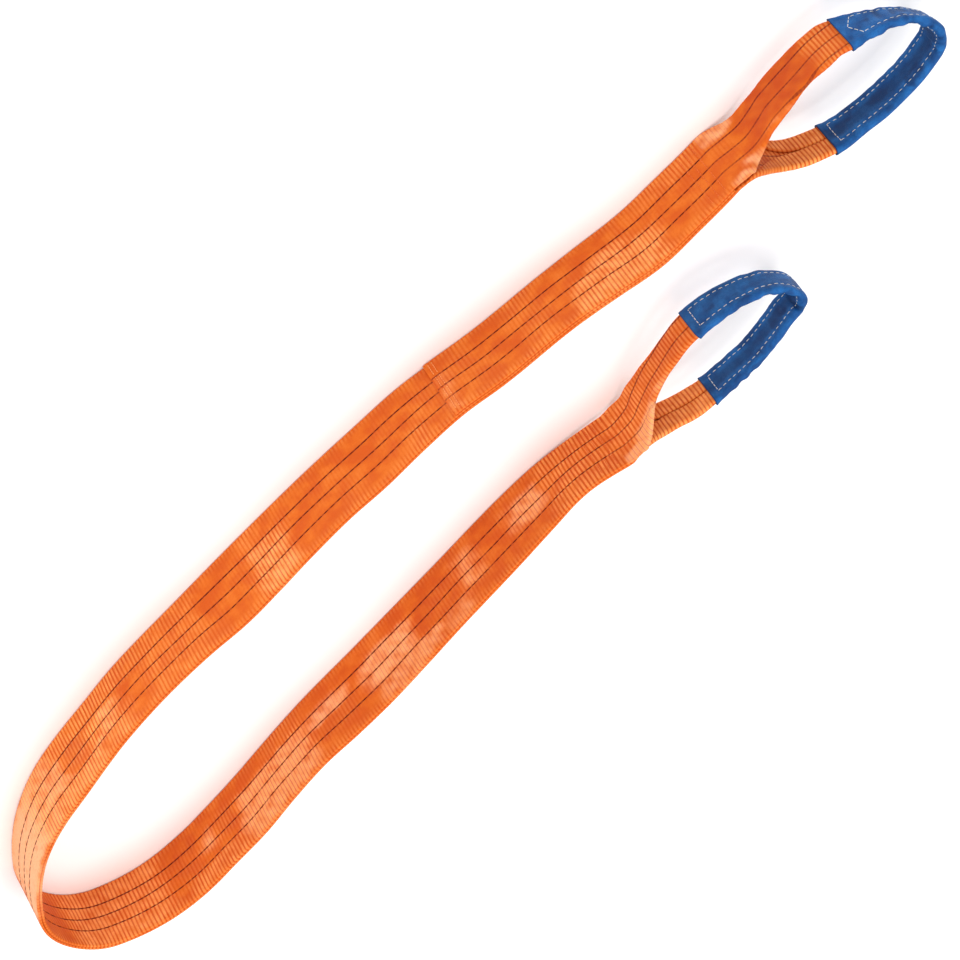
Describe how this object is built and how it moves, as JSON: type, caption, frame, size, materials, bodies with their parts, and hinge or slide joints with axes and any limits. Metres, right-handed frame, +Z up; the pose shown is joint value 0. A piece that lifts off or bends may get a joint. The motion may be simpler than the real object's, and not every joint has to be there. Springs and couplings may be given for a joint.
{
  "type": "flat webbing lifting sling",
  "caption": "Duplex flat webbing sling with folded, sleeved eyes at both ends, standing on its edge in a long U.",
  "frame": {"origin": "centre of the sling's footprint, on the ground under its lower edge", "axes": "+Z up across the webbing's width; +X from the eyes towards the U-bend; the near leg is on the -Y side"},
  "size_m": [1.2737, 0.4782, 0.09],
  "materials": {
    "webbing_orange": "ribbed woven polyester, slight sheen",
    "sleeve_blue": "coated woven cloth, satin",
    "thread_dark_red": "twisted polyester thread, matte",
    "thread_orange": "twisted polyester thread, matte",
    "thread_white": "twisted polyester thread, matte"
  },
  "bodies": {
    "near_leg_front": {"near_leg_front_outer_ply": "webbing_orange", "near_leg_front_inner_ply": "webbing_orange", "near_leg_front_ply_seams": "thread_dark_red", "near_leg_front_splice_ply": "webbing_orange", "near_leg_front_splice_seam": "thread_orange", "near_leg_front_throat_seam": "thread_orange"},
    "near_leg_back": {"near_leg_back_outer_ply": "webbing_orange", "near_leg_back_inner_ply": "webbing_orange", "near_leg_back_ply_seams": "thread_dark_red"},
    "bend": {"bend_outer_ply": "webbing_orange", "bend_inner_ply": "webbing_orange", "bend_ply_seams": "thread_dark_red"},
    "far_leg_back": {"far_leg_back_outer_ply": "webbing_orange", "far_leg_back_inner_ply": "webbing_orange", "far_leg_back_ply_seams": "thread_dark_red"},
    "far_leg_front": {"far_leg_front_outer_ply": "webbing_orange", "far_leg_front_inner_ply": "webbing_orange", "far_leg_front_ply_seams": "thread_dark_red", "far_leg_front_throat_seam": "thread_orange"},
    "near_eye": {"near_eye_front_strand": "webbing_orange", "near_eye_back_strand": "webbing_orange", "near_eye_crown_webbing": "webbing_orange", "near_eye_wear_sleeve": "sleeve_blue", "near_eye_sleeve_outer_stitching": "thread_white", "near_eye_sleeve_inner_stitching": "thread_white"},
    "far_eye": {"far_eye_front_strand": "webbing_orange", "far_eye_back_strand": "webbing_orange", "far_eye_crown_webbing": "webbing_orange", "far_eye_wear_sleeve": "sleeve_blue", "far_eye_sleeve_outer_stitching": "thread_white", "far_eye_sleeve_inner_stitching": "thread_white"}
  },
  "joints": [
    {"name": "near_bend_flex", "type": "hinge", "parent": "bend", "child": "near_leg_back", "pos_m": [0.60974, 0.0951, 0.045], "axis": [0, 0, 1], "range_deg": [-2, 35]},
    {"name": "near_leg_flex", "type": "hinge", "parent": "near_leg_back", "child": "near_leg_front", "pos_m": [0.05245, -0.12043, 0.045], "axis": [0, 0, 1], "range_deg": [-2, 20]},
    {"name": "near_eye_swing", "type": "hinge", "parent": "near_leg_front", "child": "near_eye", "pos_m": [-0.3721, -0.1824, 0.045], "axis": [0, 0, 1], "range_deg": [-20, 20]},
    {"name": "far_bend_flex", "type": "hinge", "parent": "bend", "child": "far_leg_back", "pos_m": [0.53241, 0.23534, 0.045], "axis": [0, 0, -1], "range_deg": [-2, 35]},
    {"name": "far_leg_flex", "type": "hinge", "parent": "far_leg_back", "child": "far_leg_front", "pos_m": [0.19616, 0.14403, 0.045], "axis": [0, 0, -1], "range_deg": [-2, 20]},
    {"name": "far_eye_swing", "type": "hinge", "parent": "far_leg_front", "child": "far_eye", "pos_m": [-0.14107, 0.05256, 0.045], "axis": [0, 0, -1], "range_deg": [-10, 20]}
  ]
}
